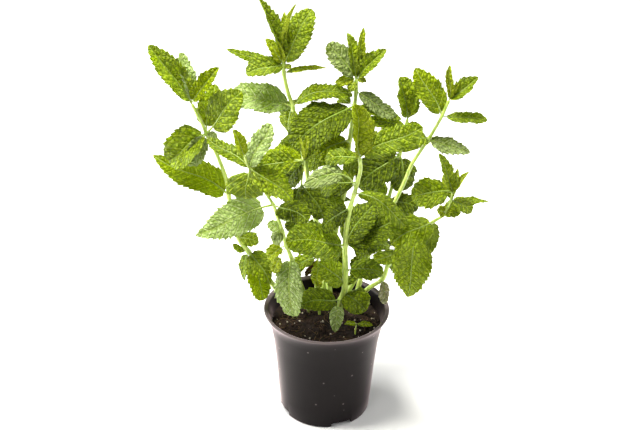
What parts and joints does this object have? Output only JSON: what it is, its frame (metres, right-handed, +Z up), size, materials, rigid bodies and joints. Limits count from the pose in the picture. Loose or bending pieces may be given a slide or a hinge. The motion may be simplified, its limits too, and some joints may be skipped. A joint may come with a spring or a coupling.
{
  "type": "potted mint plant",
  "caption": "Bushy herb plant with toothed, quilted green leaves on upright pale stems, growing in a thin round dark plastic nursery pot filled with peat.",
  "frame": {"origin": "middle of the whole outline seen from above, in the plane that the pot stands on; the pot is centred on x = 7 mm, y = -6 mm", "axes": "+Z up, along the axis of the pot, -Y towards the side seen in the picture"},
  "size_m": [0.2657, 0.1568, 0.3477],
  "materials": {
    "pot": "thin black plastic with a soft sheen",
    "soil": "moist dark peat with pale grit",
    "shoot_far_left": "fresh green leaves, quilted, on a pale stem",
    "shoot_left": "fresh green leaves, quilted, on a pale stem",
    "shoot_tallest": "fresh green leaves, quilted, on a pale stem",
    "shoot_back": "fresh green leaves, quilted, on a pale stem",
    "shoot_front": "fresh green leaves, quilted, on a pale stem",
    "shoot_slender": "fresh green leaves, quilted, on a pale stem",
    "shoot_back_right": "fresh green leaves, quilted, on a pale stem",
    "shoot_far_right": "fresh green leaves, quilted, on a pale stem",
    "shoot_right_low": "fresh green leaves, quilted, on a pale stem",
    "shoot_inner": "fresh green leaves, quilted, on a pale stem",
    "seedling": "fresh green leaves, quilted, on a pale stem"
  },
  "bodies": {
    "root": {"pot": "pot", "soil": "soil", "shoot_far_left": "shoot_far_left", "shoot_left": "shoot_left", "shoot_tallest": "shoot_tallest", "shoot_back": "shoot_back", "shoot_front": "shoot_front", "shoot_slender": "shoot_slender", "shoot_back_right": "shoot_back_right", "shoot_far_right": "shoot_far_right", "shoot_right_low": "shoot_right_low", "shoot_inner": "shoot_inner", "seedling": "seedling"}
  },
  "joints": []
}
